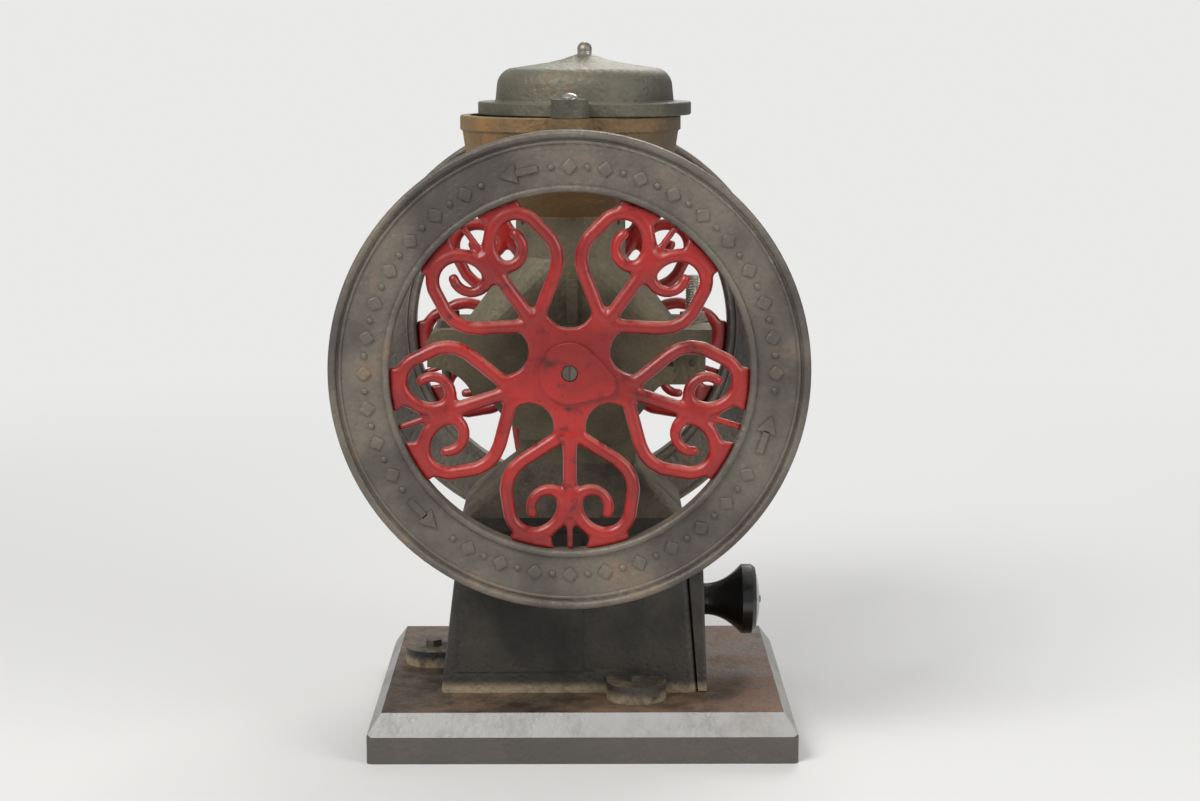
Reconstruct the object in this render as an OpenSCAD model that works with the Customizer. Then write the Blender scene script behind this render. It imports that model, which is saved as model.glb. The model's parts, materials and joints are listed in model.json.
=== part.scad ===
/* [Overall] */

// Diameter of each fly wheel
wheel_d = 230; // [180:1:300]
// Height of the axle above the table
axle_h = 194; // [160:1:240]
// How far the axle lies behind the middle of the base
axle_back = 6; // [0:0.5:20]
// Distance from the middle plane to a wheel's outer face
wheel_face = 98; // [90:0.5:130]

/* [Base plate] */

// Length of the base, front to back
base_l = 212; // [150:1:280]
// Width of the base, side to side
base_w = 184; // [140:1:240]
// Height of the base
base_h = 24; // [15:0.5:40]
// Height of its upright edge, below the chamfer
base_edge_h = 13.5; // [8:0.5:20]
// Width of the chamfer in plan
base_chamfer = 7; // [3:0.5:12]
// Radius of its upright corners
base_corner_r = 3; // [1:0.5:10]
// Wall round the hollow underside
base_wall = 10; // [6:0.5:16]
// Thickness of its top
base_top_t = 10; // [6:0.5:14]
// Thickness of the ribs in the underside
base_rib_t = 6; // [4:0.5:10]
// Radius of the bosses round the bolts in the underside
base_boss_r = 8.5; // [6:0.5:8.5]

/* [Drawer housing] */

// Distance from the axle line to the foot of the back wall
house_back = 65.7; // [50:0.1:90]
// Distance from the axle line to the foot of the front wall
house_front = 64.2; // [50:0.1:90]
// Half width of the housing at its foot
house_half_w = 50; // [40:0.5:70]
// Height of the walls' top edge above the table
house_wall_h = 113; // [90:1:140]
// Lean of the back wall, in degrees
back_lean = 6.8; // [0:0.1:12]
// Lean of the front wall, in degrees
front_lean = 4.6; // [0:0.1:12]
// Lean of the side walls, in degrees
side_lean = 4; // [0:0.1:10]
// Height of the flat joint under the grinding chamber
neck_z = 138; // [125:1:160]
// Wall thickness of the castings
wall_t = 6; // [4:0.5:10]
// Radius of the housing's upright corners
house_corner_r = 4; // [1:0.5:12]
// Height of the drawer opening's top edge
mouth_top = 94; // [70:1:105]
// Half width of the drawer opening
mouth_half_w = 42; // [30:0.5:60]
// Height of the shallow raised panel on the near wall
panel_raise = 0.8; // [0.3:0.1:2]

/* [Feet and their bolts] */

// Radius of the rounded foot lugs
lug_r = 15; // [10:0.5:20]
// Thickness of the foot lugs
lug_t = 8.5; // [5:0.5:14]
// Place of the side lugs, forward of the axle line
side_lug_x = 33; // [-40:1:50]
// Place of the back lug, away from the near wheel
back_lug_y = 12; // [-30:1:30]
// Thread diameter of the foot bolts
foot_bolt_d = 5; // [4:0.5:8]
// Width of a foot bolt's head across the flats
foot_bolt_af = 8; // [7:0.5:13]

/* [Grinding chamber] */

// Radius of the round chamber
chamber_r = 40; // [34:0.5:50]
// Half width of the chamber castings along the axle
body_half_w = 33; // [28:0.5:40]
// Length of the split flange behind the axle
flange_back = 72; // [60:0.5:90]
// Length of the split flange in front of the axle
flange_front = 71; // [60:0.5:90]
// Thickness of the upper flange
flange_up_t = 13; // [8:0.5:18]
// Thickness of the lower flange
flange_low_t = 6; // [4:0.5:12]
// Radius of the feed bore round the axle
feed_r = 17; // [14:0.5:22]
// Radius of the bearing bosses
boss_r = 15; // [12:0.5:20]
// Reach of the bearing bosses from the middle plane
boss_reach = 47; // [40:0.5:60]
// Half length of the upper body's foot
cone_half_l = 54; // [45:0.5:65]
// Radius of the round neck under the hopper
neck_r = 28; // [22:0.5:36]
// Height of the neck's top above the axle
neck_top = 68; // [60:1:90]

/* [Clamp at the front] */

// Distance from the axle line to the clamp stud
clamp_x = 62.5; // [55:0.5:70]
// Thread diameter of the clamp stud
clamp_d = 6.3; // [4:0.1:7]
// Height of the stud's top above the axle
clamp_top = 37; // [25:1:50]
// Gap between the two ears
ear_gap = 12; // [8:0.5:18]
// Thickness of each ear
ear_t = 6; // [4:0.5:10]

/* [Drive] */

// Diameter of the axle
axle_d = 14; // [10:0.5:20]
// Radial clearance of running fits
run_gap = 0.05; // [0.02:0.01:0.1]
// Outer diameter of the bearing bushes
bush_d = 20; // [16:0.5:26]
// Thickness of each grinding disc
burr_t = 8; // [5:0.5:12]
// Gap between the two grinding faces
burr_gap = 0.6; // [0.3:0.1:2]
// Number of teeth on each grinding disc
burr_teeth = 24; // [12:1:36]
// Outer radius of the feed worm
worm_r = 15; // [12:0.5:18]

/* [Fly wheels] */

// Depth of the rim along the axle
rim_depth = 12; // [8:0.5:20]
// Inner radius of the rim
rim_in_r = 86; // [60:0.5:100]
// Diameter of the scroll rods
rod_d = 7; // [4:0.1:10]
// Diameter of the curled ends of the scrolls
curl_d = 5.4; // [3:0.1:9]
// Diameter of the straight stems of the hearts
stem_d = 7.2; // [4:0.1:10]
// Radius of the hub plate
hub_r = 30.5; // [24:0.5:40]
// Thickness of the hub
hub_t = 8; // [5:0.5:12]
// Radius of the round cover on the hub
cover_r = 14.5; // [10:0.5:20]
// Reach of the cover's pointed end
cover_tip = 23; // [16:0.5:30]
// Direction of the cover's pointed end, in degrees
cover_turn = -17; // [-90:1:90]

/* [Crank handle] */

// Direction of the handle on the far wheel, in degrees
handle_turn = -90; // [-180:1:180]
// Radius at which the handle stands
handle_r = 99; // [92:0.5:105]
// Length of the turning grip
grip_l = 64; // [50:1:90]
// Largest radius of the grip
grip_r = 11; // [8:0.5:15]
// Diameter of the handle's spindle
spindle_d = 8; // [6:0.5:10]

/* [Hopper and lid] */

// Height of the hopper's rim above the table
hopper_h = 313; // [290:1:340]
// Outer radius of the hopper's lip
hopper_r = 56; // [45:0.5:70]
// Wall thickness of the hopper
hopper_t = 3.5; // [2:0.5:6]
// Radius of the lid's flange
lid_r = 54; // [45:0.5:70]
// Height of the lid's flange
lid_flange_t = 6.5; // [3:0.5:10]
// Distance from the hopper's middle to the lid pivot
pivot_y = 59; // [54:0.5:66]
// How far the lid stands turned from closed, in degrees
lid_turn = 7; // [0:1:20]

/* [Drawer] */

// Radius of the drawer knob's disc
knob_r = 18.2; // [12:0.1:25]
// Height of the knob above the table
knob_z = 60.5; // [50:0.5:75]
// Sheet thickness of the drawer tray
tray_t = 2; // [1:0.1:3]
// Side clearance of the tray in the housing
tray_gap = 0.8; // [0.3:0.1:2]
// Thickness of the drawer front at its foot
front_t = 4.8; // [3:0.1:10]
// How far its outer face is set back at the top
front_set_back = 2.4; // [0:0.1:3]
// Height of the tray's walls
tray_h = 64; // [40:1:66]

/* [Hidden] */

$fn = 96;
eps = 0.01;
tiny = 0.2;
wheel_r = wheel_d / 2;
ax = -axle_back;
house_z0 = base_h;
wall_rise = house_wall_h - house_z0;
house_top_back = house_back - wall_rise * tan(back_lean);
house_top_front = house_front - wall_rise * tan(front_lean);
house_top_w = house_half_w - wall_rise * tan(side_lean);
chute_back = 26;
chute_front = 33;
chute_half_w = 28;
chute_r = 8;
chamber_out = chamber_r + wall_t;
burr_in = -body_half_w + 8;
burr_wall = -4;
bush_in = body_half_w - 6;
fix_y1 = burr_wall;
fix_y0 = fix_y1 - burr_t;
rot_y1 = fix_y0 - burr_gap;
rot_y0 = rot_y1 - burr_t;
stop_gap = 0.3;
burr_screw_turns = [30, 150, 270];
burr_screw_r = (feed_r + chamber_r) / 2;
hub_face = wheel_face - 3;
web_z = wheel_face - rim_depth + 1;
hub_back = hub_face - hub_t;
hub_boss_r = 16;
hub_boss_in = boss_reach + 1;
cover_t = 2.5;
eye_r = 4;
rod_z = wheel_face - 5.5;
pin_z = 62;
pin_r = 2;
spigot_l = 5;
spigot_r = neck_r - 5;
spigot_in = neck_r - 8;
throat_r = spigot_in;
throat_half = 13;
throat_y0 = burr_wall + 6;
throat_l = bush_in - 6 - throat_y0;
lid_z = hopper_h + stop_gap;
pivot_r = 3;
drawer_z0 = house_z0 + stop_gap;
front_gap = stop_gap;
tray_x0 = ax - house_back + wall_t + 9;
drawer_h = mouth_top + 2;
front_x0 = house_front + front_t;
front_x1 = front_x0 - front_set_back;
front_z0 = drawer_z0 + stop_gap;
front_tilt = atan(front_set_back / (drawer_h - tiny - front_z0));
knob_x = front_x0 - (knob_z - front_z0) * tan(front_tilt);
nut_af = 1.75 * clamp_d;
clamp_slot = clamp_d / 2 + 0.5;
heart_start = [4, 30.5];
heart_aim = 33;
heart_line = 22.5;
heart_arcs = [[17, 56.5], [43, 18], [12, 85.5], [15, 79.5], [6, 55.5], [8.5, 143.5]];
bend_step = 20;
rod_sides = 10;

// Part to draw, or all of them

// Helpers

// A thin slab with rounded corners, spanning x0 to x1 and y0 to y1 at height z
module slab(x0, x1, y0, y1, z, t, r) {
  translate([0, 0, z]) linear_extrude(t) round_rect(x0, x1, y0, y1, r);
}

// A rectangle with round corners
module round_rect(x0, x1, y0, y1, r) {
  translate([x0 + r, y0]) square([x1 - x0 - 2 * r, y1 - y0]);
  translate([x0, y0 + r]) square([x1 - x0, y1 - y0 - 2 * r]);
  for (x = [x0 + r, x1 - r], y = [y0 + r, y1 - r]) translate([x, y]) circle(r, $fn = 32);
}

// Puts its children on the axle, in the frame of the whole mill
module on_axle() {
  translate([ax, 0, axle_h]) children();
}

// Cylinder along the axle, from y0 to y1
module axle_cyl(r, y0, y1) {
  translate([0, y1, 0]) rotate([90, 0, 0]) cylinder(r = r, h = y1 - y0);
}

// Extrudes a side view along the axle, from y0 to y1
module side_view(y0, y1) {
  translate([0, y1, 0]) rotate([90, 0, 0]) linear_extrude(y1 - y0) children();
}

// Wheel frame: its z axis runs outwards along the axle, side -1 is the near wheel
module wheel_frame(side) {
  on_axle() mirror([0, side > 0 ? 1 : 0, 0]) rotate([90, 0, 0]) children();
}

// Points along an arc
function arc(cx, cy, r, a0, a1, n) =
  [for (i = [0:n]) let (a = a0 + (a1 - a0) * i / n) [cx + r * cos(a), cy + r * sin(a)]];

// Hexagon prism, af across its flats
module hex(af, h) {
  cylinder(d = af / cos(30), h = h, $fn = 6);
}

// Base plate

module base_plate() {
  color([0.30, 0.25, 0.21]) difference() {
    intersection() {
      slab(-base_l / 2, base_l / 2, -base_w / 2, base_w / 2, 0, base_h, base_corner_r);
      side_view(-base_w, base_w) base_section(base_l);
      rotate([90, 0, 90]) translate([0, 0, -base_l]) linear_extrude(2 * base_l) base_section(base_w);
    }
    base_pockets();
    foot_places() translate([0, 0, -1]) cylinder(d = foot_bolt_d, h = base_h + 2);
  }
}

// Section of the base across a width l, with its two chamfers
module base_section(l) {
  polygon([[-l / 2, 0], [l / 2, 0], [l / 2, base_edge_h], [l / 2 - base_chamfer, base_h],
    [-l / 2 + base_chamfer, base_h], [-l / 2, base_edge_h]]);
}

// Hollows of the underside, with ribs left between them and bosses round the bolts
module base_pockets() {
  px = (base_l - 2 * base_wall - 2 * base_rib_t) / 3;
  py = (base_w - 2 * base_wall - base_rib_t) / 2;
  difference() {
    for (i = [0:2], j = [0:1]) {
      x0 = -base_l / 2 + base_wall + i * (px + base_rib_t);
      y0 = -base_w / 2 + base_wall + j * (py + base_rib_t);
      translate([x0, y0, -1]) cube([px, py, base_h - base_top_t + 1]);
    }
    foot_places() translate([0, 0, -2]) cylinder(r = base_boss_r, h = base_h);
  }
}

// The three places where the housing is bolted down
module foot_places() {
  for (s = [-1, 1]) translate([ax + side_lug_x, s * (house_half_w + lug_r / 2), 0]) children();
  translate([ax - house_back - lug_r / 2, back_lug_y, 0]) rotate(90) children();
}

module foot_bolts() {
  color([0.34, 0.33, 0.31]) foot_places() {
    translate([0, 0, base_h - 9]) cylinder(d = foot_bolt_d, h = 9 + lug_t);
    translate([0, 0, base_h + lug_t]) hex(foot_bolt_af, 3.5);
  }
}

// Drawer housing

// Outer walls, grown outwards by g at the sides
module house_shell(g) {
  hull() {
    slab(ax - house_back, ax + house_front, -house_half_w - g, house_half_w + g, house_z0, tiny,
      house_corner_r);
    slab(ax - house_top_back, ax + house_top_front, -house_top_w - g, house_top_w + g,
      house_wall_h - tiny, tiny, house_corner_r);
  }
}

module drawer_housing() {
  color([0.27, 0.26, 0.24]) difference() {
    union() {
      house_shell(0);
      hull() {
        slab(ax - house_top_back, ax + house_top_front, -house_top_w, house_top_w,
          house_wall_h - tiny, tiny, house_corner_r);
        slab(ax - chute_back, ax + chute_front, -chute_half_w, chute_half_w, neck_z - tiny, tiny,
          chute_r);
      }
      intersection() {
        house_shell(panel_raise);
        translate([ax - house_back + 9, -80, 35]) cube([house_back - 3, 160, 70]);
      }
      side_lugs();
    }
    hull() {
      slab(ax - house_back + wall_t, ax + house_front - wall_t, -house_half_w + wall_t,
        house_half_w - wall_t, house_z0 - 1, tiny, 2);
      slab(ax - house_top_back + wall_t, ax + house_top_front - wall_t, -house_top_w + wall_t,
        house_top_w - wall_t, house_wall_h - 3, tiny, 2);
    }
    hull() {
      slab(ax - house_top_back + wall_t, ax + house_top_front - wall_t, -house_top_w + wall_t,
        house_top_w - wall_t, house_wall_h - 3.2, tiny, 2);
      slab(ax - chute_back + wall_t, ax + chute_front - wall_t, -chute_half_w + wall_t,
        chute_half_w - wall_t, neck_z - tiny + 1, tiny, 2);
    }
    translate([tray_x0 - 2, -mouth_half_w, house_z0 - 1]) cube([200, 2 * mouth_half_w, mouth_top - house_z0 + 1]);
    foot_places() cylinder(d = foot_bolt_d + 0.6, h = 60);
  }
}

// Rounded lugs round the foot
module side_lugs() {
  for (s = [-1, 1]) translate([ax + side_lug_x, s * (house_half_w + lug_r / 2), house_z0]) {
    intersection() {
      union() {
        cylinder(r = lug_r, h = lug_t);
        translate([-lug_r, s > 0 ? -lug_r : 0, 0]) cube([2 * lug_r, lug_r, lug_t]);
      }
      translate([-20, s > 0 ? -12 : -20, 0]) cube([40, 32, lug_t]);
    }
  }
  translate([ax - house_back - lug_r / 2, back_lug_y, house_z0]) intersection() {
    union() {
      cylinder(r = lug_r, h = lug_t);
      translate([0, -lug_r, 0]) cube([lug_r, 2 * lug_r, lug_t]);
    }
    translate([-20, -20, 0]) cube([32, 40, lug_t]);
  }
}

// Grinding chamber

// All that is hollow inside the two chamber castings, in the frame of the axle
module chamber_hollow() {
  axle_cyl(chamber_r, burr_in, burr_wall);
  axle_cyl(feed_r, burr_wall - eps, bush_in - 2);
  axle_cyl(bush_d / 2, -boss_reach - 1, boss_reach + 1);
  for (a = burr_screw_turns)
    rotate([0, -a, 0]) translate([burr_screw_r, 0, 0]) axle_cyl(2, burr_wall - 1, burr_wall + 14);
}

// Side view of the lower casting
module lower_view() {
  intersection() {
    circle(chamber_out);
    translate([-100, -100]) square([200, 100]);
  }
  translate([-flange_back, -flange_low_t]) square([flange_back + 46, flange_low_t]);
  translate([-chute_back, neck_z - axle_h]) square([chute_back + chute_front, axle_h - neck_z - 20]);
  difference() {
    translate([-flange_back + 1, -24]) square([flange_back - 31, 24 - flange_low_t + eps]);
    translate([-flange_back + 1, -24 - flange_low_t]) circle(24);
  }
  difference() {
    translate([30, -24]) square([22, 24 - flange_low_t + eps]);
    translate([56, -24 - flange_low_t]) circle(18);
  }
}

// Side view of one ear for the clamp stud
module ear_view() {
  difference() {
    union() {
      translate([38, -10]) square([31, 10]);
      translate([38, -18]) square([23, 18]);
      translate([61, -10]) circle(8);
    }
    translate([clamp_x, -7]) circle(1.75);
  }
}

module lower_casting() {
  color([0.36, 0.35, 0.31]) on_axle() difference() {
    union() {
      side_view(-body_half_w, body_half_w) lower_view();
      for (s = [-1, 1]) intersection() {
        axle_cyl(boss_r, min(0, s * boss_reach), max(0, s * boss_reach));
        translate([-50, -100, -50]) cube([100, 200, 50]);
      }
      for (s = [-1, 1]) {
        y0 = s > 0 ? ear_gap / 2 : -ear_gap / 2 - ear_t;
        side_view(y0, y0 + ear_t) ear_view();
      }
    }
    chamber_hollow();
    intersection() {
      hull() {
        translate([-chute_back + wall_t, burr_in, -30]) cube([chute_back + chute_front - 2 * wall_t, 21, 1]);
        translate([-chute_back + wall_t, -chute_half_w + wall_t, neck_z - axle_h - 1])
          cube([chute_back + chute_front - 2 * wall_t, 2 * chute_half_w - 2 * wall_t, 2]);
      }
      translate([-100, -100, neck_z - axle_h - 1]) cube([200, 200, 100]);
    }
    translate([-chute_back + wall_t, burr_in, -32])
      cube([chute_back + chute_front - 2 * wall_t, burr_wall - burr_in, 32]);
    for (s = [-1, 1]) {
      translate([-chute_back - 30, s > 0 ? chute_half_w : -chute_half_w - 40, neck_z - axle_h - 1])
        cube([120, 40, 14]);
      flange_place(s) translate([0, 0, -18]) cylinder(d = 5, h = 20);
    }
  }
}

// Places of the two bolts at the back of the split flange
module flange_place(s) {
  translate([-flange_back + 9, s * 20, 0]) children();
}

module upper_casting() {
  color([0.42, 0.40, 0.34]) on_axle() difference() {
    union() {
      side_view(-body_half_w, body_half_w) difference() {
        translate([-flange_back, 0]) square([flange_back + flange_front, flange_up_t]);
        translate([-flange_back, flange_up_t - 8]) difference() {
          translate([-1, 0]) square([9, 9]);
          translate([8, 0]) circle(8);
        }
      }
      hull() {
        slab(-cone_half_l, cone_half_l, -29, 29, flange_up_t - tiny, tiny, 16);
        translate([0, 0, 48]) cylinder(r = neck_r, h = tiny, $fn = 32);
      }
      translate([0, 0, 40]) cylinder(r = neck_r, h = neck_top - 40);
      for (s = [-1, 1]) {
        translate([-2, s > 0 ? 20 : -body_half_w, 8]) cube([5.5, body_half_w - 20, 30]);
        intersection() {
          axle_cyl(boss_r, min(0, s * boss_reach), max(0, s * boss_reach));
          translate([-50, -100, 0]) cube([100, 200, 50]);
        }
      }
    }
    chamber_hollow();
    hull() {
      translate([0, 0, neck_top - 8]) cylinder(r = throat_r, h = tiny, $fn = 32);
      translate([-throat_half, throat_y0, chamber_out]) cube([2 * throat_half, throat_l, tiny]);
    }
    translate([-throat_half, throat_y0, 0]) cube([2 * throat_half, throat_l, chamber_out + eps]);
    translate([0, 0, neck_top - 8]) cylinder(r = throat_r, h = 20);
    translate([0, 0, neck_top - spigot_l]) cylinder(r = spigot_r, h = 20);
    translate([clamp_x - clamp_slot, -clamp_slot, -1]) cube([20, 2 * clamp_slot, flange_up_t + 2]);
    for (s = [-1, 1]) flange_place(s) translate([0, 0, -1]) cylinder(d = 5.6, h = 20);
    for (a = [90, 210, 330]) rotate(a) translate([spigot_in - 1, 0, neck_top - 2.5])
      rotate([0, 90, 0]) cylinder(r = 1.5, h = 20);
  }
}

module flange_bolts() {
  color([0.34, 0.33, 0.31]) on_axle() for (s = [-1, 1]) flange_place(s) {
    translate([0, 0, -14]) cylinder(d = 5, h = 14 + flange_up_t);
    translate([0, 0, flange_up_t]) hex(8, 3.5);
  }
}

// Clamp at the front

module clamp_pin() {
  color([0.45, 0.44, 0.42]) on_axle() translate([clamp_x, 0, -7])
    axle_cyl(1.75, -ear_gap / 2 - ear_t - 0.5, ear_gap / 2 + ear_t + 0.5);
}

module clamp_stud() {
  color([0.55, 0.54, 0.50]) on_axle() difference() {
    union() {
      translate([clamp_x, 0, -7]) cylinder(d = clamp_d, h = clamp_top + 7);
      translate([clamp_x, 0, -7]) axle_cyl(4.5, -ear_gap / 2 + 0.4, ear_gap / 2 - 0.4);
    }
    translate([clamp_x, 0, -7]) axle_cyl(1.75, -20, 20);
  }
}

module clamp_nut() {
  color([0.60, 0.59, 0.56]) on_axle() translate([clamp_x, 0, flange_up_t]) difference() {
    union() {
      cylinder(r = nut_af / 2 + 1, h = 1);
      translate([0, 0, 1]) hex(nut_af, 4.2);
    }
    translate([0, 0, -1]) cylinder(d = clamp_d, h = 20);
  }
}

// Drive

module bushes() {
  color([0.62, 0.48, 0.26]) on_axle() for (s = [-1, 1]) difference() {
    axle_cyl(bush_d / 2, s > 0 ? bush_in : -boss_reach, s > 0 ? boss_reach : -bush_in);
    axle_cyl(axle_d / 2 + run_gap, -60, 60);
  }
}

// Slanted grooves across a grinding face, cut depth d at plane y
module burr_grooves(y, r0, r1, d) {
  for (i = [0:burr_teeth - 1]) rotate([0, i * 360 / burr_teeth, 0])
    translate([r0, y, 3]) rotate([45, 0, 0]) cube([r1 - r0, d, d], center = false);
}

module fixed_burr() {
  color([0.40, 0.39, 0.38]) on_axle() difference() {
    axle_cyl(chamber_r - 0.2, fix_y0, fix_y1);
    axle_cyl(feed_r, fix_y0 - 1, fix_y1 + 1);
    for (a = burr_screw_turns) rotate([0, -a, 0]) translate([burr_screw_r, 0, 0]) {
      axle_cyl(2.2, fix_y0 - 1, fix_y1 + 1);
      axle_cyl(4, fix_y0 - 1, fix_y0 + 4);
    }
    burr_grooves(fix_y0 - 1, feed_r + 1, chamber_r + 2, 1.8);
  }
}

module burr_screws() {
  color([0.50, 0.49, 0.47]) on_axle() for (a = burr_screw_turns)
    rotate([0, -a, 0]) translate([burr_screw_r, 0, 0]) {
      axle_cyl(2, fix_y0 + 3.9, burr_wall + 12);
      axle_cyl(3.8, fix_y0 + 1.4, fix_y0 + 4);
    }
}

module turning_burr() {
  color([0.42, 0.41, 0.40]) on_axle() difference() {
    union() {
      axle_cyl(chamber_r - 3, rot_y0, rot_y1);
      axle_cyl(12, rot_y0 - 3, rot_y0 + 1);
    }
    axle_cyl(axle_d / 2, -60, 60);
    burr_grooves(rot_y1 - 0.3, 14, chamber_r + 2, 1.8);
  }
}

module feed_worm() {
  color([0.42, 0.41, 0.40]) on_axle() difference() {
    union() {
      axle_cyl(axle_d / 2 + 2.5, rot_y1, bush_in - 3);
      translate([0, bush_in - 3.5, 0]) rotate([90, 0, 0])
        linear_extrude(bush_in - 3.5 - rot_y1, twist = 540, slices = 40, $fn = 8)
          translate([axle_d / 2 + 1, -1.6]) square([worm_r - axle_d / 2 - 1, 3.2]);
    }
    axle_cyl(axle_d / 2, -60, 60);
  }
}

module axle() {
  color([0.50, 0.49, 0.47]) on_axle() difference() {
    axle_cyl(axle_d / 2, -hub_face, hub_face);
    for (s = [-1, 1]) {
      axle_cyl(2.5, s > 0 ? hub_face - 14 : -hub_face - 1, s > 0 ? hub_face + 1 : -hub_face + 14);
      translate([0, s * pin_z, 0]) rotate([0, 90, 0]) cylinder(r = pin_r, h = 60, center = true);
    }
  }
}

// Fly wheels, drawn in the wheel frame

// Section of the rim: a flat web between round beads, with a raised line
module rim_section() {
  z0 = wheel_face - rim_depth;
  b = 1.9;
  c = 1.8;
  translate([rim_in_r + c, web_z]) square([wheel_r - rim_in_r - b - c, rim_depth - 3.2]);
  translate([wheel_r - 2 * b, z0 + b]) square([2 * b, rim_depth - 2 * b]);
  translate([rim_in_r, z0 + c]) square([2 * c, rim_depth - 2 * c]);
  for (z = [z0 + b, wheel_face - b]) translate([wheel_r - b, z]) circle(b, $fn = 32);
  for (z = [z0 + c, wheel_face - c]) translate([rim_in_r + c, z]) circle(c, $fn = 32);
  translate([wheel_r - 5.6, wheel_face - 2.3]) circle(0.95, $fn = 32);
  translate([rim_in_r + 5.2, z0 + 1.2]) circle(0.8, $fn = 32);
}

module rim() {
  rotate_extrude() rim_section();
}

// Stations of a path that starts at p with heading h: each is [x, y, heading]
function bends(p, h, i) = i >= len(heart_arcs) ? [] :
  let (r = heart_arcs[i][0], s = heart_arcs[i][1], n = ceil(s / bend_step))
  concat([for (k = [1:n]) let (q = bend_end(p, h, r, s * k / n)) [q[0], q[1], h + s * k / n]],
    bends(bend_end(p, h, r, s), h + s, i + 1));

function bend_end(p, h, r, s) =
  [p[0] - r * sin(h) + r * sin(h + s), p[1] + r * cos(h) - r * cos(h + s)];

// Radius of the rod at a share t of its length: it thins towards the curl
function rod_r(t) = t < 0.55 ? rod_d / 2 : rod_d / 2 + (curl_d - rod_d) / 2 * min(1, (t - 0.55) / 0.2);

// A round rod bent along the stations, with a rounded free end
module bent_rod(st) {
  n = rod_sides;
  last = st[len(st) - 1];
  e = curl_d / 2;
  tip = [for (a = [30, 60]) [last[0] + e * sin(a) * cos(last[2]), last[1] + e * sin(a) * sin(last[2]), last[2], cos(a)]];
  all = concat([for (s = st) [s[0], s[1], s[2], 1]], tip);
  pts = [
    for (i = [0:len(all) - 1]) let (s = all[i], r = rod_r(i / len(all)) * s[3])
      for (j = [0:n - 1]) let (a = (j + 0.5) * 360 / n)
        [s[0] - r * cos(a) * sin(s[2]), s[1] + r * cos(a) * cos(s[2]), rod_z + r * sin(a)]
  ];
  sides = [
    for (i = [0:len(all) - 2], j = [0:n - 1])
      [(i + 1) * n + j, (i + 1) * n + (j + 1) % n, i * n + (j + 1) % n, i * n + j]
  ];
  caps = [[for (j = [0:n - 1]) j], [for (j = [n - 1:-1:0]) (len(all) - 1) * n + j]];
  polyhedron(pts, concat(sides, caps));
}

// A straight rod from p to q in the plane of the scrolls
module rod_line(p, q, d) {
  v = q - p;
  translate([p[0], p[1], rod_z]) rotate([0, 90, atan2(v[1], v[0])]) rotate(180 / rod_sides)
    cylinder(d = d, h = norm(v), $fn = rod_sides);
}

module half_heart() {
  p0 = heart_start;
  p1 = p0 + heart_line * [cos(heart_aim), sin(heart_aim)];
  bent_rod(concat([[p0[0], p0[1], heart_aim], [p1[0], p1[1], heart_aim]], bends(p1, heart_aim, 0)));
  translate([0, 0, rod_z - 2.4]) linear_extrude(4.8) polygon([[10, 77], [7.5, 87], [30, 85], [27, 75]]);
}

module heart() {
  half_heart();
  mirror([1, 0, 0]) half_heart();
  rod_line([0, 24], [0, 70], stem_d);
  rod_line([0, 66], [0, rim_in_r + 1], stem_d / 2);
}

// The five hearts between the hub and the rim
module scrolls() {
  intersection() {
    difference() {
      union() for (i = [0:4]) rotate(i * 72 + 180) heart();
      cylinder(r = hub_r, h = 200);
    }
    cylinder(r = rim_in_r, h = 200);
  }
}

// Star-shaped hub with a boss behind it
module hub() {
  difference() {
    union() {
      difference() {
        translate([0, 0, hub_back]) cylinder(r = hub_r, h = hub_t);
        for (i = [0:4]) rotate(i * 72 + 90) translate([32.5, 0, hub_back - 1]) cylinder(r = 11.5, h = hub_t + 2);
      }
      translate([0, 0, hub_boss_in]) cylinder(r = hub_boss_r, h = hub_back - hub_boss_in + 1);
    }
    cylinder(d = axle_d, h = 200);
    translate([0, 0, pin_z]) rotate([0, 90, 0]) cylinder(r = pin_r, h = 60, center = true);
  }
}

// Tear-shaped cover in the middle of the hub
module cover() {
  tip_r = 6;
  translate([0, 0, hub_face]) rotate(cover_turn) difference() {
    linear_extrude(cover_t) hull() {
      circle(cover_r);
      translate([cover_tip - tip_r, 0]) circle(tip_r);
    }
    translate([0, 0, -1]) cylinder(r = eye_r, h = 9);
  }
}

module near_rim() {
  color([0.43, 0.41, 0.38]) wheel_frame(-1) rim();
}

module near_scrolls() {
  color([0.72, 0.12, 0.10]) wheel_frame(-1) scrolls();
}

module near_hub() {
  color([0.72, 0.12, 0.10]) wheel_frame(-1) hub();
}

module near_cover() {
  color([0.72, 0.12, 0.10]) wheel_frame(-1) cover();
}

module far_rim() {
  color([0.43, 0.41, 0.38]) wheel_frame(1) difference() {
    union() {
      rim();
      rotate(handle_turn) translate([handle_r, 0, web_z]) cylinder(r = 8, h = rim_depth);
    }
    rotate(handle_turn) translate([handle_r, 0, 0]) cylinder(d = spindle_d - 1, h = 200);
  }
}

module far_scrolls() {
  color([0.72, 0.12, 0.10]) wheel_frame(1) scrolls();
}

module far_hub() {
  color([0.72, 0.12, 0.10]) wheel_frame(1) hub();
}

module far_cover() {
  color([0.72, 0.12, 0.10]) wheel_frame(1) cover();
}

module hub_pins() {
  color([0.45, 0.44, 0.42]) for (s = [-1, 1]) wheel_frame(s)
    translate([0, 0, pin_z]) rotate([0, 90, 0]) cylinder(r = pin_r, h = 2 * hub_boss_r, center = true);
}

module hub_screws() {
  color([0.45, 0.44, 0.42]) for (s = [-1, 1]) wheel_frame(s) difference() {
    union() {
      translate([0, 0, hub_face - 12]) cylinder(r = 2.5, h = 12);
      translate([0, 0, hub_face]) cylinder(r = eye_r - 0.4, h = 1.6);
    }
    translate([-0.5, -6, hub_face + 0.7]) cube([1, 12, 3]);
  }
}

// Crank handle on the far wheel

module handle_place() {
  wheel_frame(1) rotate(handle_turn) translate([handle_r, 0, web_z]) children();
}

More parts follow.
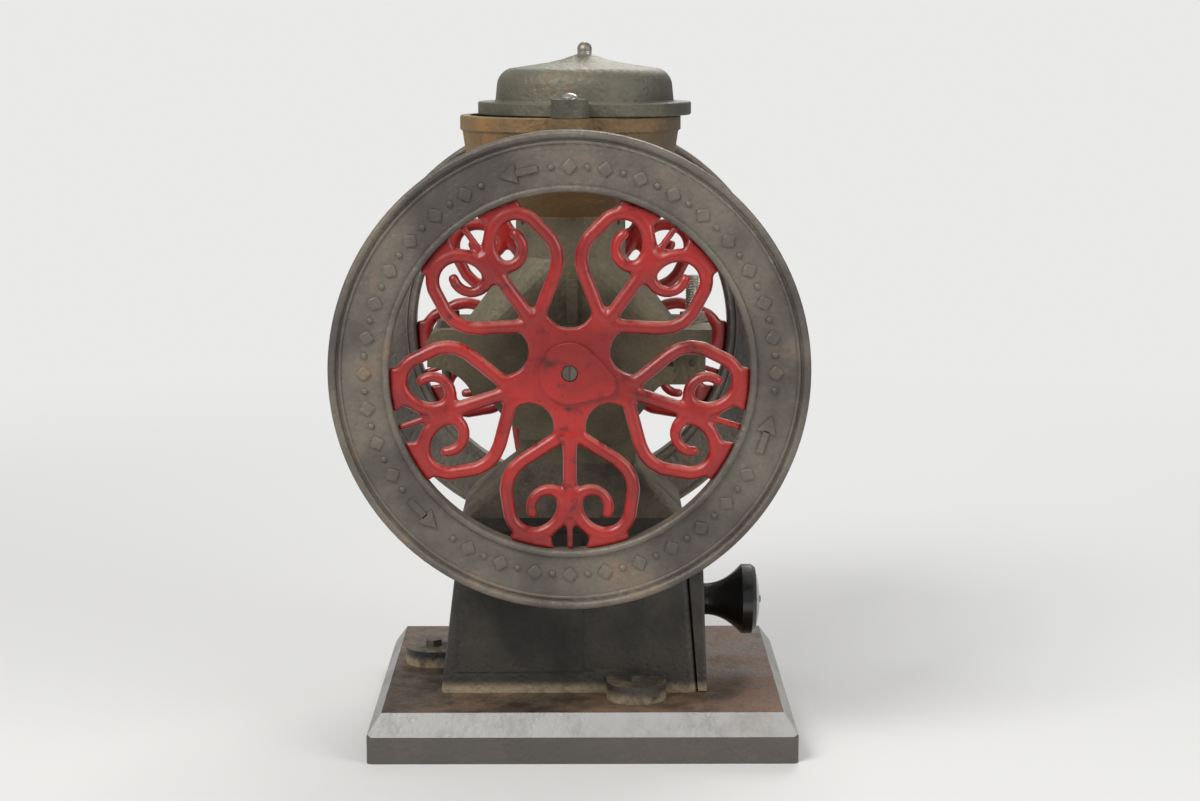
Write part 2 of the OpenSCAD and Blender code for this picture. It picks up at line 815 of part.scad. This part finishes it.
module handle_spindle() {
  color([0.45, 0.44, 0.42]) handle_place() {
    translate([0, 0, -3]) cylinder(r = 6, h = 3);
    cylinder(d = spindle_d - 1, h = rim_depth);
    translate([0, 0, rim_depth]) cylinder(r = 6.5, h = 2);
    translate([0, 0, rim_depth + 2]) cylinder(d = spindle_d, h = grip_l + 0.6);
    translate([0, 0, rim_depth + 2 + grip_l + 0.6]) cylinder(r = 6, h = 1.6);
  }
}

module handle_grip() {
  pts = concat(
    [[spindle_d / 2 + run_gap, 0], [grip_r - 4, 0], [grip_r - 3, 1]],
    [for (i = [0:12]) [grip_r - 3 + 3 * sin(i * 15), 4 + (grip_l - 8) * i / 12]],
    [[grip_r - 3, grip_l - 1], [grip_r - 4, grip_l], [spindle_d / 2 + run_gap, grip_l]]
  );
  color([0.06, 0.06, 0.06]) handle_place() translate([0, 0, rim_depth + 2.3]) rotate_extrude() polygon(pts);
}

// Hopper

module hopper() {
  z0 = axle_h + neck_top - spigot_l;
  z1 = z0 + spigot_l;
  t = hopper_t;
  color([0.47, 0.38, 0.25]) difference() {
    union() {
      translate([ax, 0, 0]) rotate_extrude() polygon([
        [spigot_in, z0], [spigot_r - run_gap, z0], [spigot_r - run_gap, z1], [neck_r, z1],
        [neck_r, z1 + 1], [51, z1 + 17], [hopper_r - 1.2, hopper_h - 8], [hopper_r, hopper_h - 7],
        [hopper_r, hopper_h - 0.6], [hopper_r - 0.6, hopper_h], [hopper_r - 1.2 - t, hopper_h],
        [hopper_r - 1.2 - t, hopper_h - 8], [51 - t, z1 + 18], [spigot_in, z1 + 3]
      ]);
      translate([ax, -pivot_y, hopper_h - 7]) cylinder(r = 11.5, h = 7);
      translate([ax - 7, -pivot_y, hopper_h - 7]) cube([14, 8, 7]);
    }
    translate([ax, -pivot_y, hopper_h - 20]) cylinder(r = pivot_r, h = 40);
    translate([ax, 0, z1 + 20]) cylinder(r = hopper_r - 1.2 - t, h = 60);
    for (a = [90, 210, 330]) translate([ax, 0, 0]) rotate(a)
      translate([spigot_in - 1, 0, axle_h + neck_top - 2.5]) rotate([0, 90, 0]) cylinder(r = 1.5, h = 20);
  }
}

module hopper_screws() {
  color([0.45, 0.44, 0.42]) for (a = [90, 210, 330]) translate([ax, 0, 0]) rotate(a)
    translate([spigot_in + 0.5, 0, axle_h + neck_top - 2.5]) rotate([0, 90, 0]) cylinder(r = 1.5, h = 7);
}

// Lid, which turns about a screw beside the near wheel

module lid_place() {
  translate([ax, -pivot_y, 0]) rotate(-lid_turn) children();
}

module lid() {
  r1 = lid_r - 8.8;
  z1 = lid_z + lid_flange_t;
  out = concat(
    [[lid_r - 0.5, lid_z], [lid_r, lid_z + 0.5], [lid_r, z1 - 0.5], [lid_r - 0.5, z1], [r1 + 0.6, z1], [r1, z1 + 0.8]],
    arc(r1 - 10.3, z1 + 7.4, 9.6, 3, 73, 8),
    [[26, z1 + 18.3], [18, z1 + 19.5], [11, z1 + 21.2], [6, z1 + 22.9], [4, z1 + 23.6], [2.05, z1 + 23.6]]
  );
  in = concat([[2.05, z1 + 19.5], [18, z1 + 16.6]], arc(r1 - 10.3, z1 + 7.4, 6.6, 73, 3, 8), [[r1 - 3.6, lid_z]]);
  color([0.40, 0.38, 0.32]) lid_place() difference() {
    union() {
      translate([0, pivot_y, 0]) rotate_extrude() polygon(concat(out, in));
      difference() {
        union() {
          translate([0, 0, lid_z]) cylinder(r = 9, h = 9);
          translate([-9, 0, lid_z]) cube([18, 9, lid_flange_t]);
        }
        translate([0, pivot_y, lid_z - 1]) cylinder(r = r1 - 1, h = 60);
      }
    }
    translate([0, 0, lid_z - 1]) cylinder(r = pivot_r + run_gap, h = 40);
  }
}

module lid_screw() {
  color([0.55, 0.53, 0.48]) translate([ax, -pivot_y, 0]) difference() {
    union() {
      translate([0, 0, hopper_h - 7]) cylinder(r = pivot_r, h = 7 + stop_gap + 9.3);
      translate([0, 0, lid_z + 9.3]) intersection() {
        cylinder(r = 4.5, h = 3);
        translate([0, 0, -2.6]) sphere(r = 5.4);
      }
    }
    translate([-10, -0.6, lid_z + 11.2]) cube([20, 1.2, 5]);
  }
}

module lid_finial() {
  z1 = lid_z + lid_flange_t + 23.6;
  color([0.75, 0.74, 0.70]) lid_place() translate([0, pivot_y, 0]) {
    translate([0, 0, z1 - 5]) cylinder(r = 2.05, h = 5.5);
    translate([0, 0, z1]) cylinder(r = 3.6, h = 1.6);
    intersection() {
      translate([0, 0, z1 + 2.6]) sphere(r = 3.7);
      translate([0, 0, z1 + 1]) cylinder(r = 5, h = 20);
    }
  }
}

// Drawer

// Everything behind the slanted front, moved forwards by d
module behind_front(d) {
  translate([ax + house_front + d, -200, house_z0]) rotate([0, -front_lean, 0]) translate([-300, 0, -50])
    cube([300, 400, 300]);
}

module drawer_tray() {
  w = mouth_half_w - tray_gap;
  color([0.40, 0.38, 0.34]) difference() {
    intersection() {
      translate([tray_x0, -w, drawer_z0]) cube([200, 2 * w, tray_h]);
      behind_front(front_gap);
    }
    intersection() {
      translate([tray_x0 + tray_t, -w + tray_t, drawer_z0 + tray_t]) cube([200, 2 * w - 2 * tray_t, 90]);
      behind_front(front_gap - tray_t);
    }
    translate([ax, 0, knob_z]) rotate([0, 90, 0]) cylinder(r = 2.5, h = 150);
  }
}

module drawer_front() {
  color([0.27, 0.26, 0.24]) difference() {
    hull() {
      slab(ax + 50, ax + front_x0, -house_half_w + 0.5, house_half_w - 0.5, front_z0, tiny, 1.5);
      slab(ax + 50, ax + front_x1, -house_half_w + 5.5, house_half_w - 5.5, drawer_h - tiny, tiny, 1.5);
    }
    behind_front(front_gap);
    translate([ax, 0, knob_z]) rotate([0, 90, 0]) cylinder(r = 2.5, h = 150);
  }
}

module drawer_knob() {
  pts = concat(
    [[0, 1.8], [8.6, 1.8], [8.2, 4]],
    [for (i = [1:9]) [8.2 + 8.6 * pow(i / 9, 2.2), 4 + 18 * i / 9]],
    [[knob_r, 23.4], [knob_r, 28.6], [knob_r - 1.5, 30.6]],
    [for (i = [1:5]) [(knob_r - 1.5) * (1 - i / 5) + 2 * i / 5, 30.6 + 2.4 * sin(i * 18)]],
    [[2, 33.6], [0, 34]]
  );
  color([0.05, 0.05, 0.05]) translate([ax + knob_x - 2.2, 0, knob_z]) difference() {
    rotate([0, 90, 0]) rotate_extrude() polygon(pts);
    rotate([0, 90, 0]) cylinder(r = 2.5, h = 14);
    translate([2.2, -50, 0]) rotate([0, -front_tilt, 0]) translate([-20, 0, -100]) cube([20, 100, 200]);
  }
}

module knob_screw() {
  x0 = ax + 52;
  color([0.50, 0.49, 0.47]) difference() {
    translate([x0, 0, knob_z]) rotate([0, 90, 0]) cylinder(r = 2.5, h = ax + knob_x + 10 - x0);
    behind_front(front_gap - tray_t);
  }
  color([0.50, 0.49, 0.47]) intersection() {
    translate([x0 - 5, 0, knob_z]) rotate([0, 90, 0]) cylinder(r = 5, h = 30);
    difference() {
      behind_front(front_gap - tray_t);
      behind_front(front_gap - tray_t - 2.5);
    }
  }
}

base_plate();
drawer_housing();
foot_bolts();
lower_casting();
upper_casting();
flange_bolts();
clamp_pin();
clamp_stud();
clamp_nut();
bushes();
fixed_burr();
burr_screws();
hopper();
hopper_screws();
lid_screw();
axle();
feed_worm();
turning_burr();
near_rim();
near_scrolls();
near_hub();
near_cover();
far_rim();
far_scrolls();
far_hub();
far_cover();
hub_pins();
hub_screws();
handle_spindle();
handle_grip();
drawer_tray();
drawer_front();
drawer_knob();
knob_screw();
lid();
lid_finial();
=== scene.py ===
# %% [markdown]
# This scene dresses a hand-cranked table mill: an iron box with a drawer, a round hopper with a lid,
# and two fly wheels filled with red scrolls. The measured solids come in as a fixed frame, and
# everything made here is added round them, in metres and in the same place.

# %% Load the measured mill
import bpy, json, math
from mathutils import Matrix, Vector


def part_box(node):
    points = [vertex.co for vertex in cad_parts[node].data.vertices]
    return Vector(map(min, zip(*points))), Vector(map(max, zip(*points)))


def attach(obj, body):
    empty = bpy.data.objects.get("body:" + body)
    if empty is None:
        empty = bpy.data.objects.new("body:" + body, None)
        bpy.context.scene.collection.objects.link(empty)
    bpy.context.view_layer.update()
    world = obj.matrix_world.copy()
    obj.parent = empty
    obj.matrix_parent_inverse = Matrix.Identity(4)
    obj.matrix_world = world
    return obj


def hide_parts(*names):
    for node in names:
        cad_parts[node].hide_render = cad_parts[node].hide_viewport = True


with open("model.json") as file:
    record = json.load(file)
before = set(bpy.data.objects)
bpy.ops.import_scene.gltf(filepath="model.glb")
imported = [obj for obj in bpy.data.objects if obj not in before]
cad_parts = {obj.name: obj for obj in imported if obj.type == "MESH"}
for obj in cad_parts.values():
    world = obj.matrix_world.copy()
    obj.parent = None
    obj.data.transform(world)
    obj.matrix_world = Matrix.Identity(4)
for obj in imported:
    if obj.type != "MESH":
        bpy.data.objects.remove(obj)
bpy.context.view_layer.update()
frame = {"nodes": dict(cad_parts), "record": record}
nodes = frame["nodes"]


# %% [markdown]
# The wheels turn about one axle, so most places here are an angle and a radius round it. The axle's
# place is read from the frame instead of typed again, which keeps the two models together.

# %% Places that the pieces share
rim_low, rim_high = (Vector(corner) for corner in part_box("near_rim"))
AXLE = Vector(((rim_low.x + rim_high.x) / 2, 0.0, (rim_low.z + rim_high.z) / 2))
WHEEL_R = (rim_high.z - rim_low.z) / 2
FACE = -rim_low.y
MM = 0.001
print("axle", tuple(round(v, 4) for v in AXLE), "wheel radius", round(WHEEL_R, 4))

# %% [markdown]
# The camera stands where the photographer stood: low, a little above the wheels and almost square
# to them. A long lens keeps the two wheels nearly the same size. The values were found by fitting
# the circles of both wheels and the edges of the base.

# %% Camera
CAMERA_PLACE = (0.0019, -1.1871, 0.352)
CAMERA_PITCH = 0.1555
CAMERA_YAW = 0.006
bpy.ops.object.camera_add(location=CAMERA_PLACE,
                          rotation=(math.pi / 2 - CAMERA_PITCH, 0, -CAMERA_YAW))
camera = bpy.context.object
camera.name = "camera"
SENSOR_W = 36
FOCAL_PIXELS = 2319.2
PHOTO_W = 1200
camera.data.sensor_width = SENSOR_W
camera.data.sensor_fit = "HORIZONTAL"
camera.data.lens = SENSOR_W * FOCAL_PIXELS / PHOTO_W
bpy.context.scene.camera = camera
bpy.context.scene.view_settings.view_transform = "Standard"

# %% [markdown]
# Shader maths reads best as sums. This small class wraps a socket so that `1 - mask` or
# `grain * 0.3` adds the right Math node, and a second class holds one material while it is made.


# %% Helpers for materials
class Value:
    """A socket that can be added, taken away and multiplied."""

    def __init__(self, paint, socket):
        self.paint = paint
        self.socket = socket

    def math(self, operation, first, second):
        return self.paint.node("ShaderNodeMath", {"operation": operation}, first, second)

    def __add__(self, other):
        return self.math("ADD", self, other)

    def __sub__(self, other):
        return self.math("SUBTRACT", self, other)

    def __mul__(self, other):
        return self.math("MULTIPLY", self, other)

    def __rsub__(self, other):
        return self.math("SUBTRACT", other, self)

    __radd__ = __add__
    __rmul__ = __mul__


def linear(red, green, blue):
    """A colour given as it shows on a screen, 0 to 255, as the shader wants it."""
    return tuple((v / 255) ** 2.2 for v in (red, green, blue)) + (1.0,)


class Paint:
    """One material while it is being put together."""

    def __init__(self, name):
        self.material = bpy.data.materials.new(name)
        self.material.use_nodes = True
        self.tree = self.material.node_tree
        self.shader = self.tree.nodes["Principled BSDF"]
        place = self.tree.nodes.new("ShaderNodeTexCoord")
        self.place = place.outputs["Object"]
        split = self.tree.nodes.new("ShaderNodeSeparateXYZ")
        self.tree.links.new(place.outputs["Normal"], split.inputs[0])
        self.up = Value(self, split.outputs["Z"])
        split = self.tree.nodes.new("ShaderNodeSeparateXYZ")
        self.tree.links.new(self.place, split.inputs[0])
        self.height = Value(self, split.outputs["Z"])

    def put(self, socket, value):
        if isinstance(value, Value):
            value = value.socket
        if isinstance(value, bpy.types.NodeSocket):
            self.tree.links.new(value, socket)
        else:
            socket.default_value = value

    def node(self, kind, settings, *values, out=0, **named):
        made = self.tree.nodes.new(kind)
        for key, setting in settings.items():
            setattr(made, key, setting)
        for index, value in enumerate(values):
            self.put(made.inputs[index], value)
        for key, value in named.items():
            self.put(made.inputs[key.replace("_", " ")], value)
        return Value(self, made.outputs[out])

    def noise(self, size, detail=4, rough=0.6):
        """Soft noise whose lumps are about size metres across."""
        return self.node("ShaderNodeTexNoise", {}, Vector=self.place, Scale=0.5 / size,
                         Detail=float(detail), Roughness=rough)

    def cells(self, size):
        """Distance to the nearest of many scattered points, size metres apart."""
        return self.node("ShaderNodeTexVoronoi", {}, Vector=self.place, Scale=1.0 / size)

    def step(self, value, low, high):
        """0 below low, 1 above high, smooth between."""
        return self.node("ShaderNodeMapRange", {"interpolation_type": "SMOOTHSTEP"}, value, low, high)

    def mix(self, factor, first, second):
        made = self.tree.nodes.new("ShaderNodeMix")
        made.data_type = "RGBA"
        self.put(made.inputs[0], factor)
        self.put(made.inputs[6], first)
        self.put(made.inputs[7], second)
        return Value(self, made.outputs[2])

    def bump(self, height, depth):
        made = self.node("ShaderNodeBump", {}, Height=height, Distance=depth, Strength=1.0)
        self.put(self.shader.inputs["Normal"], made)

    def finish(self, color, roughness, metallic=0.0, coat=0.0):
        self.put(self.shader.inputs["Base Color"], color)
        self.put(self.shader.inputs["Roughness"], roughness)
        self.put(self.shader.inputs["Metallic"], metallic)
        self.put(self.shader.inputs["Coat Weight"], coat)
        self.shader.inputs["Coat Roughness"].default_value = 0.25
        return self.material


# %% [markdown]
# Old sand-cast iron is never one colour. A broad noise lets the metal drift between two tones, a
# finer one lays rust in patches, dust settles on what faces up, and sharp small grains give the
# skin of the sand mould. One function makes each iron, with its own colours and amounts.


# %% Cast iron
def cast_iron(name, tone, dark, rust, dust, rusty=0.5, dusty=0.5, shine=0.55, foot=None,
              bare=False):
    paint = Paint(name)
    broad = paint.noise(0.035, 5)
    patch = paint.noise(0.011, 8, 0.7)
    grain = paint.noise(0.0011, 5, 0.7)
    pits = paint.cells(0.0035)
    color = paint.mix(paint.step(broad, 0.36, 0.62), linear(*dark), linear(*tone))
    rust_mask = paint.step(patch * 0.6 + broad * 0.4, 0.62 - 0.2 * rusty, 0.72 - 0.12 * rusty)
    color = paint.mix(rust_mask * (0.35 + 0.6 * rusty), color, linear(*rust))
    dust_mask = paint.step(paint.up, 0.2, 1.0) * paint.step(patch, 0.32, 0.6) * dusty
    color = paint.mix(dust_mask, color, linear(*dust))
    if foot:
        line = (1 - paint.step(paint.height, foot + 0.001, foot + 0.006)) * paint.step(patch, 0.3, 0.55)
        color = paint.mix(line * 0.85, color, linear(*dust))
    color = paint.mix(paint.step(grain, 0.25, 0.75) * 0.35, color, linear(*dark))
    if bare:
        sides = 1 - paint.step(paint.up, 0.2, 0.4)
        color = paint.mix(sides * 0.8, color, linear(98, 95, 91))
        slope = paint.step(paint.up, 0.4, 0.5) * (1 - paint.step(paint.up, 0.65, 0.8))
        worn = slope * (0.7 + 0.25 * paint.step(patch, 0.35, 0.6))
        color = paint.mix(worn, color, linear(172, 171, 168))
    rough = shine + rust_mask * 0.22 + (grain - 0.5) * 0.25
    paint.bump(grain * 0.5 + paint.step(pits, 0.1, 0.5) * 0.25 + patch * 0.9, 0.0007)
    return paint.finish(color, rough, metallic=0.35 - 0.3 * rust_mask)


iron_base = cast_iron("rusty_base_iron", (92, 74, 62), (52, 42, 38), (120, 66, 38), (150, 132, 108),
                      rusty=0.75, dusty=0.45, bare=True)
# Painted shade: the housing's tone and dark colours are set darker than the other irons, because the lower
# casting sits in shadow below the wheels.
iron_house = cast_iron("housing_iron_darkened_for_painted_shade", (78, 74, 68), (48, 46, 43), (98, 68, 48), (190, 172, 140),
                       rusty=0.25, dusty=0.5, shine=0.5, foot=0.0245)
iron_body = cast_iron("olive_body_iron", (122, 114, 92), (78, 74, 62), (130, 100, 62), (165, 152, 122),
                      rusty=0.3, dusty=0.6)
iron_hopper = cast_iron("ochre_hopper_iron", (146, 118, 80), (94, 80, 60), (158, 112, 58), (176, 158, 122),
                        rusty=0.7, dusty=0.5)
iron_lid = cast_iron("olive_lid_iron", (112, 108, 92), (76, 74, 66), (150, 108, 60), (150, 142, 118),
                     rusty=0.3, dusty=0.5, shine=0.5)
iron_rim = cast_iron("weathered_rim_iron", (122, 116, 104), (82, 76, 72), (142, 112, 82), (160, 148, 126),
                     rusty=0.45, dusty=0.4, shine=0.48)

# %% [markdown]
# The scrolls were painted thick and glossy, and have been handled and rained on since. The red
# stays bright on the rounds, goes dark where it is thin, and a little iron shows at small chips.
# Upward faces turn a pale pinkish beige that is part dust and part painted sheen.


# %% Red enamel
def red_enamel():
    paint = Paint("worn_red_enamel")
    broad = paint.noise(0.02, 4)
    patch = paint.noise(0.006, 6, 0.7)
    grain = paint.noise(0.0012, 3)
    color = paint.mix(paint.step(broad, 0.35, 0.65), linear(128, 24, 22), linear(164, 36, 31))
    color = paint.mix(paint.step(patch, 0.3, 0.46) * -1 + 1, color, linear(82, 18, 18))
    # Painted sheen mixed with dust: upward faces are tinted pale pinkish beige, partly dust and partly the
    # light caught on the glossy red.
    dust = paint.step(paint.up, 0.15, 0.95) * paint.step(patch, 0.38, 0.62)
    color = paint.mix(dust * 0.42, color, linear(196, 146, 124))
    chip = paint.step(patch * 0.5 + grain * 0.5, 0.635, 0.66)
    color = paint.mix(chip, color, linear(74, 54, 46))
    paint.bump(patch * 0.5 + grain * 0.12 - chip * 0.6, 0.0005)
    return paint.finish(color, 0.36 + dust * 0.3 + chip * 0.3, metallic=0.0, coat=0.3 - chip * 0.25)


enamel = red_enamel()

# %% [markdown]
# Bolts, screws, the axle and the bushes are bare metal. A fine noise in the bump and the roughness
# stands for the marks a file or a lathe leaves, and dull spots keep it from looking new.


# %% Bare metals, tin and black lacquer
def bare_metal(name, tone, dark, rough=0.35, metallic=0.95):
    paint = Paint(name)
    streak = paint.noise(0.0016, 6, 0.75)
    spot = paint.noise(0.006, 4)
    stain = paint.step(spot, 0.42, 0.66)
    color = paint.mix(stain, linear(*tone), linear(*dark))
    paint.bump(streak, 0.0002)
    return paint.finish(color, rough + stain * 0.25 + (streak - 0.5) * 0.2, metallic=metallic - stain * 0.3)


steel_dark = bare_metal("dull_steel", (112, 106, 98), (70, 62, 54), 0.45, 0.85)
steel_bright = bare_metal("bright_steel", (196, 192, 182), (128, 118, 104), 0.28)
bronze = bare_metal("bearing_bronze", (176, 142, 88), (110, 84, 52), 0.35)
tin = bare_metal("dull_sheet_tin", (118, 114, 106), (84, 76, 66), 0.5, 0.7)


def black_lacquer():
    paint = Paint("black_lacquer")
    patch = paint.noise(0.008, 5)
    grain = paint.noise(0.0014, 4)
    dust = paint.step(paint.up, 0.3, 1.0) * paint.step(patch, 0.4, 0.65)
    color = paint.mix(dust * 0.16, linear(18, 18, 19), linear(120, 112, 100))
    paint.bump(grain * 0.2 + patch * 0.4, 0.0002)
    return paint.finish(color, 0.2 + dust * 0.25 + (patch - 0.5) * 0.15, coat=0.6)


lacquer = black_lacquer()

# %% Give every measured piece its finish
FINISH = {
    "iron_base": iron_base, "iron_house": iron_house, "iron_body": iron_body,
    "iron_hopper": iron_hopper, "iron_lid": iron_lid, "iron_rim": iron_rim,
    "red_paint": enamel, "steel_dark": steel_dark, "steel_bright": steel_bright,
    "bronze": bronze, "tin": tin, "black": lacquer,
}


def set_finish(piece, material):
    piece.data.materials.clear()
    piece.data.materials.append(material)


for row in frame["record"]["subparts"]:
    node = nodes[row["node"]]
    for slot in node.material_slots:
        slot.material = FINISH[row["material_slot"]]
    if not node.material_slots:
        node.data.materials.append(FINISH[row["material_slot"]])

# %% [markdown]
# Each wheel's scrolls and hub were poured in one piece, so every joint is a soft fillet and no rod
# simply pokes into the next. Copies of the measured solids are joined, remeshed into one skin and
# smoothed, which rounds the rods and fills the corners as molten iron does.


# %% Red scrolls as one casting
def deselect():
    bpy.ops.object.select_all(action="DESELECT")


def copy_joined(names, new_name):
    """Copies of measured pieces, merged into one new object."""
    deselect()
    copies = []
    for name in names:
        copy = nodes[name].copy()
        copy.data = nodes[name].data.copy()
        bpy.context.scene.collection.objects.link(copy)
        copy.parent = None
        copy.select_set(True)
        copies.append(copy)
    bpy.context.view_layer.objects.active = copies[0]
    if len(copies) > 1:
        bpy.ops.object.join()
    piece = bpy.context.view_layer.objects.active
    piece.name = new_name
    bpy.ops.object.mode_set(mode="EDIT")
    bpy.ops.mesh.select_all(action="SELECT")
    bpy.ops.mesh.remove_doubles(threshold=0.00002)
    bpy.ops.object.mode_set(mode="OBJECT")
    return piece


def cast_skin(piece, voxel, rounds):
    remesh = piece.modifiers.new("skin", "REMESH")
    remesh.mode = "VOXEL"
    remesh.voxel_size = voxel
    remesh.use_smooth_shade = True
    smooth = piece.modifiers.new("soften", "SMOOTH")
    smooth.factor = 0.5
    smooth.iterations = rounds
    for modifier in list(piece.modifiers):
        bpy.ops.object.modifier_apply(modifier=modifier.name)
    bpy.ops.object.shade_smooth()
    print(piece.name, len(piece.data.polygons), "faces")


SKIN_VOXEL = 1.0 * MM
SKIN_ROUNDS = 5
for side in ("near", "far"):
    casting = copy_joined([f"{side}_scrolls", f"{side}_hub"], f"{side}_wheel_casting")
    cast_skin(casting, SKIN_VOXEL, SKIN_ROUNDS)
    set_finish(casting, enamel)
    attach(casting, "wheels")
    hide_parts(f"{side}_scrolls", f"{side}_hub")

# %% [markdown]
# The flat band of each rim carries raised ornament, with three arrows that show which way to turn.
# The ornament here is a plain run of lozenges and beads. One of each is modelled, and the copies
# are set round the band by their angle.

# %% Raised ornament on the rims
BAND_R = 98 * MM
BAND_SUNK = 2.2 * MM
BAND_FACE = FACE - BAND_SUNK
SUNK_IN = 0.2 * MM
RAISED = 1.3 * MM
ARROWS = (103.7, -18.0, 223.5)
MOTIF_STEP = 5.0
ARROW_CLEAR = 8.5
HANDLE_CLEAR = 14


def on_band(side, angle):
    turn = math.radians(angle)
    y = side * (BAND_FACE + RAISED / 2 - SUNK_IN)
    place = Vector((AXLE.x + BAND_R * math.cos(turn), y, AXLE.z + BAND_R * math.sin(turn)))
    return place, (0.0, -turn, 0.0)


def lozenge(side, angle, along, across):
    """A raised diamond with soft edges, along the band."""
    place, turn = on_band(side, angle)
    bpy.ops.mesh.primitive_cube_add(size=1.0, location=place)
    piece = bpy.context.object
    bpy.ops.object.mode_set(mode="EDIT")
    bpy.ops.mesh.select_all(action="SELECT")
    bpy.ops.mesh.bevel(offset=0.18, segments=2, affect="EDGES")
    bpy.ops.object.mode_set(mode="OBJECT")
    for point in piece.data.vertices:
        x, y, z = point.co
        point.co = ((x - z) * across * 0.5, y * RAISED, (x + z) * along * 0.5)
    piece.rotation_euler = turn
    return piece


def bead(side, angle, radius):
    place, turn = on_band(side, angle)
    bpy.ops.mesh.primitive_uv_sphere_add(segments=12, ring_count=8, radius=radius, location=place)
    piece = bpy.context.object
    piece.scale = (1.0, 0.6, 1.0)
    return piece


def arrow(side, angle):
    """An arrow along the band, pointing the way the wheel turns."""
    place, turn = on_band(side, angle)
    bpy.ops.mesh.primitive_cylinder_add(vertices=3, radius=5.4 * MM, depth=RAISED, location=place)
    head = bpy.context.object
    for point in head.data.vertices:
        x, y, z = point.co
        point.co = (-x, z, y + 4.6 * MM)
    bpy.ops.mesh.primitive_cube_add(size=1.0, location=place)
    shaft = bpy.context.object
    for point in shaft.data.vertices:
        x, y, z = point.co
        point.co = (x * 3.0 * MM, y * RAISED, z * 11 * MM - 3 * MM)
    for piece in (head, shaft):
        piece.rotation_euler = turn
    return [head, shaft]


def ornament(side_name, side, skip):
    deselect()
    made = []
    for angle in ARROWS:
        if not any(abs((angle - s + 180) % 360 - 180) < HANDLE_CLEAR for s in skip):
            made += arrow(side, angle)
    count = int(360 / MOTIF_STEP)
    for i in range(count):
        angle = i * MOTIF_STEP
        if any(abs((angle - a + 180) % 360 - 180) < ARROW_CLEAR for a in ARROWS + skip):
            continue
        if i % 2:
            made.append(bead(side, angle, 1.5 * MM))
        else:
            made.append(lozenge(side, angle, 7.5 * MM, 8.0 * MM))
    for piece in made:
        piece.select_set(True)
    bpy.context.view_layer.objects.active = made[0]
    bpy.ops.object.join()
    bpy.ops.object.transform_apply(location=True, rotation=True, scale=True)
    piece = bpy.context.object
    piece.name = f"{side_name}_rim_ornament"
    bpy.ops.object.mode_set(mode="EDIT")
    bpy.ops.mesh.select_all(action="SELECT")
    bpy.ops.mesh.normals_make_consistent(inside=False)
    bpy.ops.object.mode_set(mode="OBJECT")
    bpy.ops.object.shade_smooth_by_angle(angle=math.radians(40))
    set_finish(piece, iron_rim)
    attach(piece, "wheels")
    print(piece.name, len(piece.data.polygons), "faces")


HANDLE_ANGLE = 270.0
ornament("near", -1, ())
ornament("far", 1, (HANDLE_ANGLE,))

# %% [markdown]
# The clamp stud is threaded. At this size a thread reads as close rings of light and shade, so
# ridges are stacked up the bare part of the stud at the thread's pitch.

# %% Thread on the clamp stud
PITCH = 1.36 * MM
stud_low, stud_high = (Vector(corner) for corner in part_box("clamp_stud"))
nut_high = Vector(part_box("clamp_nut")[1])
nut_low = Vector(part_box("clamp_nut")[0])
stud_x = (nut_low.x + nut_high.x) / 2
STUD_R = 3.15 * MM
RIDGE_R = 0.42 * MM
deselect()
ridges = []
z = nut_high.z + PITCH
while z < stud_high.z - PITCH / 2:
    bpy.ops.mesh.primitive_torus_add(location=(stud_x, 0, z), major_radius=STUD_R,
                                     minor_radius=RIDGE_R, major_segments=32, minor_segments=8)
    ridges.append(bpy.context.object)
    z += PITCH
for ridge in ridges:
    ridge.select_set(True)
bpy.context.view_layer.objects.active = ridges[0]
bpy.ops.object.join()
bpy.ops.object.transform_apply(location=True, rotation=True, scale=True)
thread = bpy.context.object
thread.name = "clamp_stud_thread"
bpy.ops.object.shade_smooth()
set_finish(thread, steel_bright)
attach(thread, "body")

# %% [markdown]
# A plain pale floor and soft lamps from above show the iron without drama. The white behind comes
# from the world as the camera and the reflections see it, so no extra light falls on the mill.

# %% Floor, background and lamps
bpy.ops.mesh.primitive_plane_add(size=30, location=(0, 0, 0))
floor = bpy.context.object
floor.name = "floor"
ground = Paint("pale_floor")
mottle = ground.noise(0.5, 3)
set_finish(floor, ground.finish(ground.mix(mottle, linear(222, 221, 218), linear(230, 229, 226)), 0.7))
bright = ground.node("ShaderNodeEmission", {}, Color=(0.82, 0.82, 0.81, 1.0), Strength=1.0)
distance = ground.node("ShaderNodeVectorMath", {"operation": "LENGTH"}, ground.place, out=1)
seen = ground.node("ShaderNodeLightPath", {})
far_off = seen * ground.step(distance, 0.35, 1.3)
blend = ground.node("ShaderNodeMixShader", {}, far_off, ground.shader.outputs[0], bright)
ground.tree.links.new(blend.socket, ground.tree.nodes["Material Output"].inputs["Surface"])

world = bpy.data.worlds.new("studio")
bpy.context.scene.world = world
world.use_nodes = True
tree = world.node_tree
back = tree.nodes["Background"]
back.inputs["Color"].default_value = (0.80, 0.81, 0.83, 1)
back.inputs["Strength"].default_value = 0.45
shown = tree.nodes.new("ShaderNodeBackground")
shown.inputs["Color"].default_value = (0.82, 0.82, 0.81, 1)
shown.inputs["Strength"].default_value = 1.0
path = tree.nodes.new("ShaderNodeLightPath")
pick = tree.nodes.new("ShaderNodeMixShader")
tree.links.new(path.outputs["Is Camera Ray"], pick.inputs[0])
tree.links.new(back.outputs[0], pick.inputs[1])
tree.links.new(shown.outputs[0], pick.inputs[2])
tree.links.new(pick.outputs[0], tree.nodes["World Output"].inputs[0])

LAMPS = (
    ("key", (-0.9, -1.1, 1.5), 0.9, 26),
    ("fill", (1.3, -0.9, 0.8), 0.9, 9),
    ("rim", (0.3, 1.4, 1.3), 0.8, 12),
)
for name, place, size, power in LAMPS:
    aim = (AXLE - Vector(place)).to_track_quat("-Z", "Y").to_euler()
    bpy.ops.object.light_add(type="AREA", location=place, rotation=aim)
    lamp = bpy.context.object
    lamp.name = name
    lamp.data.size = size
    lamp.data.energy = power
